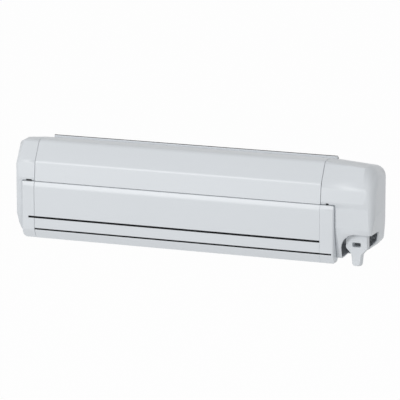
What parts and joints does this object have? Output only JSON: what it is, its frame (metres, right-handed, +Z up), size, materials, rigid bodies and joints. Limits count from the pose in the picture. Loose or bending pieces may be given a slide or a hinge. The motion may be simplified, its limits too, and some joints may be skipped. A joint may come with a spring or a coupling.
{
  "type": "roll out awning",
  "caption": "Wall-mounted cassette awning with a rolled canopy, folding arms, a lead rail with stowed legs and a crank-driven winch eye.",
  "frame": {"origin": "middle of the case's flat back, on the wall plane, at the height of the case's lower third", "axes": "+X along the case towards the winch end, +Y into the wall, +Z up; the awning rolls out towards -Y"},
  "size_m": [0.6212, 0.09, 0.1657],
  "materials": {
    "case_white": "satin powder coat",
    "cap_white": "fine satin moulding",
    "black_rubber": "matt",
    "black_strip": "satin",
    "steel": "zinc plated",
    "alloy": "anodised",
    "grey_plastic": "fine grain",
    "canopy": "coated polyester weave",
    "bronze": "machined"
  },
  "bodies": {
    "case": {"case_profile": "case_white", "rear_seal": "black_rubber", "hood_seal": "black_rubber", "left_end_cap": "cap_white", "right_end_cap": "cap_white", "cap_screws": "steel", "left_end_plate": "alloy", "right_end_plate": "alloy", "roller_bearing": "grey_plastic", "gearbox_housing": "grey_plastic", "gearbox_cover": "grey_plastic", "gearbox_screws": "steel", "left_shoulder_bracket": "alloy", "right_shoulder_bracket": "alloy", "left_shoulder_pin": "steel", "right_shoulder_pin": "steel", "bracket_screws": "steel", "winch_bush": "grey_plastic", "rail_stops": "black_rubber"},
    "roller": {"roller_tube": "alloy", "canopy_roll": "canopy", "left_roller_plug": "grey_plastic", "right_roller_plug": "grey_plastic", "worm_wheel": "bronze"},
    "winch": {"worm_shaft": "steel", "winch_eye": "cap_white"},
    "canopy_front": {"canopy_sheet": "canopy"},
    "left_upper_arm": {"left_upper_arm_tube": "case_white", "left_shoulder_knuckle": "alloy", "left_elbow_fork": "alloy", "left_elbow_pin": "steel"},
    "left_forearm": {"left_forearm_tube": "case_white", "left_elbow_tongue": "alloy", "left_wrist_knuckle": "alloy"},
    "right_upper_arm": {"right_upper_arm_tube": "case_white", "right_shoulder_knuckle": "alloy", "right_elbow_fork": "alloy", "right_elbow_pin": "steel"},
    "right_forearm": {"right_forearm_tube": "case_white", "right_elbow_tongue": "alloy", "right_wrist_knuckle": "alloy"},
    "lead_rail": {"lead_rail_profile": "case_white", "left_lead_cap": "cap_white", "right_lead_cap": "cap_white", "upper_strip": "black_strip", "lower_strip": "black_strip", "canopy_hem": "canopy", "wrist_brackets": "alloy", "leg_hinges": "alloy", "leg_clips": "grey_plastic"},
    "left_leg": {"left_leg_knuckle": "grey_plastic", "left_leg_tube": "alloy", "left_leg_collar": "grey_plastic"},
    "left_leg_inner": {"left_leg_inner": "alloy"},
    "left_foot": {"left_leg_foot": "black_rubber"},
    "right_leg": {"right_leg_knuckle": "grey_plastic", "right_leg_tube": "alloy", "right_leg_collar": "grey_plastic"},
    "right_leg_inner": {"right_leg_inner": "alloy"},
    "right_foot": {"right_leg_foot": "black_rubber"}
  },
  "joints": [
    {"name": "left_shoulder", "type": "hinge", "parent": "case", "child": "left_upper_arm", "pos_m": [-0.225, -0.026, -0.016], "axis": [0, 0.1392, -0.9903], "range_deg": [0, 75]},
    {"name": "left_elbow", "type": "hinge", "parent": "left_upper_arm", "child": "left_forearm", "pos_m": [-0.02527, -0.03637, -0.01746], "axis": [0, -0.1392, 0.9903], "range_deg": [0, 150.01]},
    {"name": "left_wrist", "type": "hinge", "parent": "left_forearm", "child": "lead_rail", "pos_m": [-0.225, -0.04673, -0.01891], "axis": [0, 0.1392, -0.9903], "range_deg": [0, 75.01]},
    {"name": "right_shoulder", "type": "hinge", "parent": "case", "child": "right_upper_arm", "pos_m": [0.225, -0.026, -0.016], "axis": [0, -0.1392, 0.9903], "range_deg": [0, 75.01]},
    {"name": "right_elbow", "type": "hinge", "parent": "right_upper_arm", "child": "right_forearm", "pos_m": [0.02527, -0.03637, -0.01746], "axis": [0, 0.1392, -0.9903], "range_deg": [0, 150.01]},
    {"name": "roller_spin", "type": "hinge", "parent": "case", "child": "roller", "pos_m": [0, -0.045, 0.04], "axis": [-1, 0, 0], "range_deg": [0, 758]},
    {"name": "winch_spin", "type": "hinge", "parent": "case", "child": "winch", "pos_m": [0.303, -0.063, 0], "axis": [0, 0, 1], "range_deg": [0, 3032]},
    {"name": "canopy_feed", "type": "slide", "parent": "case", "child": "canopy_front", "axis": [0, -0.9903, -0.1392], "range_m": [0, 0.3704], "deforming": ["canopy_sheet"]},
    {"name": "left_leg_swing", "type": "hinge", "parent": "lead_rail", "child": "left_leg", "pos_m": [-0.238, -0.07, -0.062], "axis": [0, 1, 0], "range_deg": [0, 90]},
    {"name": "left_leg_slide", "type": "slide", "parent": "left_leg", "child": "left_leg_inner", "axis": [1, 0, 0], "range_m": [0, 0.1201]},
    {"name": "left_foot_tilt", "type": "hinge", "parent": "left_leg_inner", "child": "left_foot", "pos_m": [-0.034, -0.07, -0.062], "axis": [0, 1, 0], "range_deg": [-10, 10]},
    {"name": "right_leg_swing", "type": "hinge", "parent": "lead_rail", "child": "right_leg", "pos_m": [0.238, -0.07, -0.062], "axis": [0, -1, 0], "range_deg": [0, 90]},
    {"name": "right_leg_slide", "type": "slide", "parent": "right_leg", "child": "right_leg_inner", "axis": [-1, 0, 0], "range_m": [0, 0.1201]},
    {"name": "right_foot_tilt", "type": "hinge", "parent": "right_leg_inner", "child": "right_foot", "pos_m": [0.034, -0.07, -0.062], "axis": [0, 1, 0], "range_deg": [-10, 10]}
  ],
  "couplings": [
    {"joint": "left_elbow", "follows": "left_shoulder", "ratio": 2},
    {"joint": "left_wrist", "follows": "left_shoulder", "ratio": 1},
    {"joint": "right_shoulder", "follows": "left_shoulder", "ratio": 1},
    {"joint": "right_elbow", "follows": "left_shoulder", "ratio": 2},
    {"joint": "roller_spin", "follows": "left_shoulder", "ratio": 10.104},
    {"joint": "winch_spin", "follows": "left_shoulder", "ratio": 40.415},
    {"joint": "canopy_feed", "follows": "left_shoulder", "m_per_rad": 0.28291},
    {"joint": "left_leg_slide", "follows": "left_leg_swing", "m_per_rad": 0.076394},
    {"joint": "right_leg_slide", "follows": "right_leg_swing", "m_per_rad": 0.076394}
  ]
}
